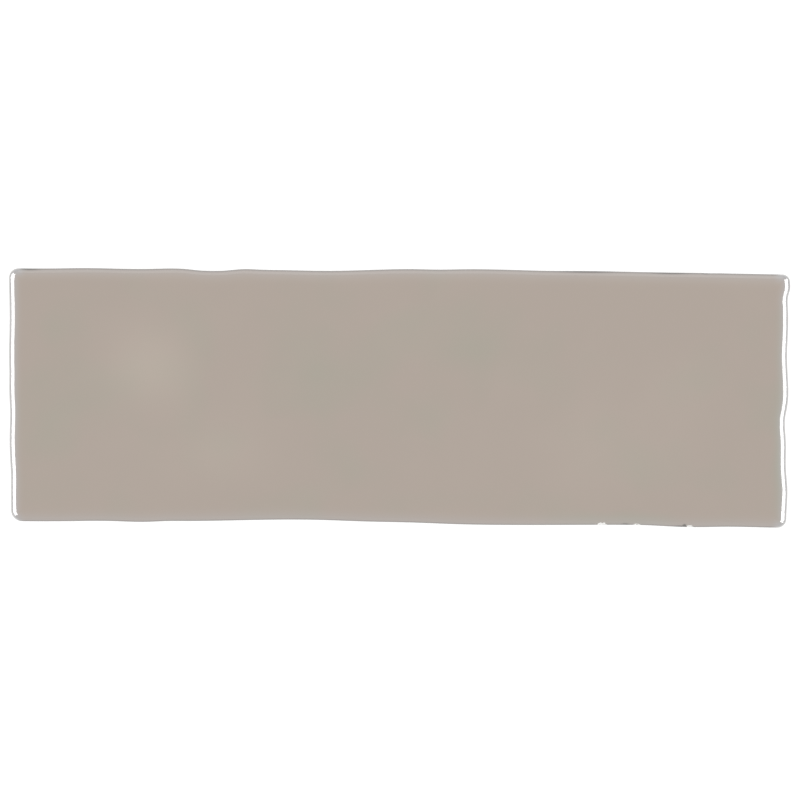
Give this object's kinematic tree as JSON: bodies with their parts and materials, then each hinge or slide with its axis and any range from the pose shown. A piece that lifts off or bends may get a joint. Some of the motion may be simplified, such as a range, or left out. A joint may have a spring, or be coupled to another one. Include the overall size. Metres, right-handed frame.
{
  "type": "wall tile",
  "caption": "Long narrow glazed ceramic wall tile with a gently rolling glossy face, rounded wandering edges and a ribbed bedding back.",
  "frame": {"origin": "centre of the tile's bounding box, down on the bedding back", "axes": "+X along the tile's length, +Y across its width, +Z out of the glazed face"},
  "size_m": [0.2006, 0.0658, 0.0086],
  "materials": {
    "glazed_body": "glossy warm grey-beige glaze on the face, arris and upper sides, bare cream biscuit low on the sides and on the back"
  },
  "bodies": {
    "root": {"wall_tile": "glazed_body"}
  },
  "joints": []
}
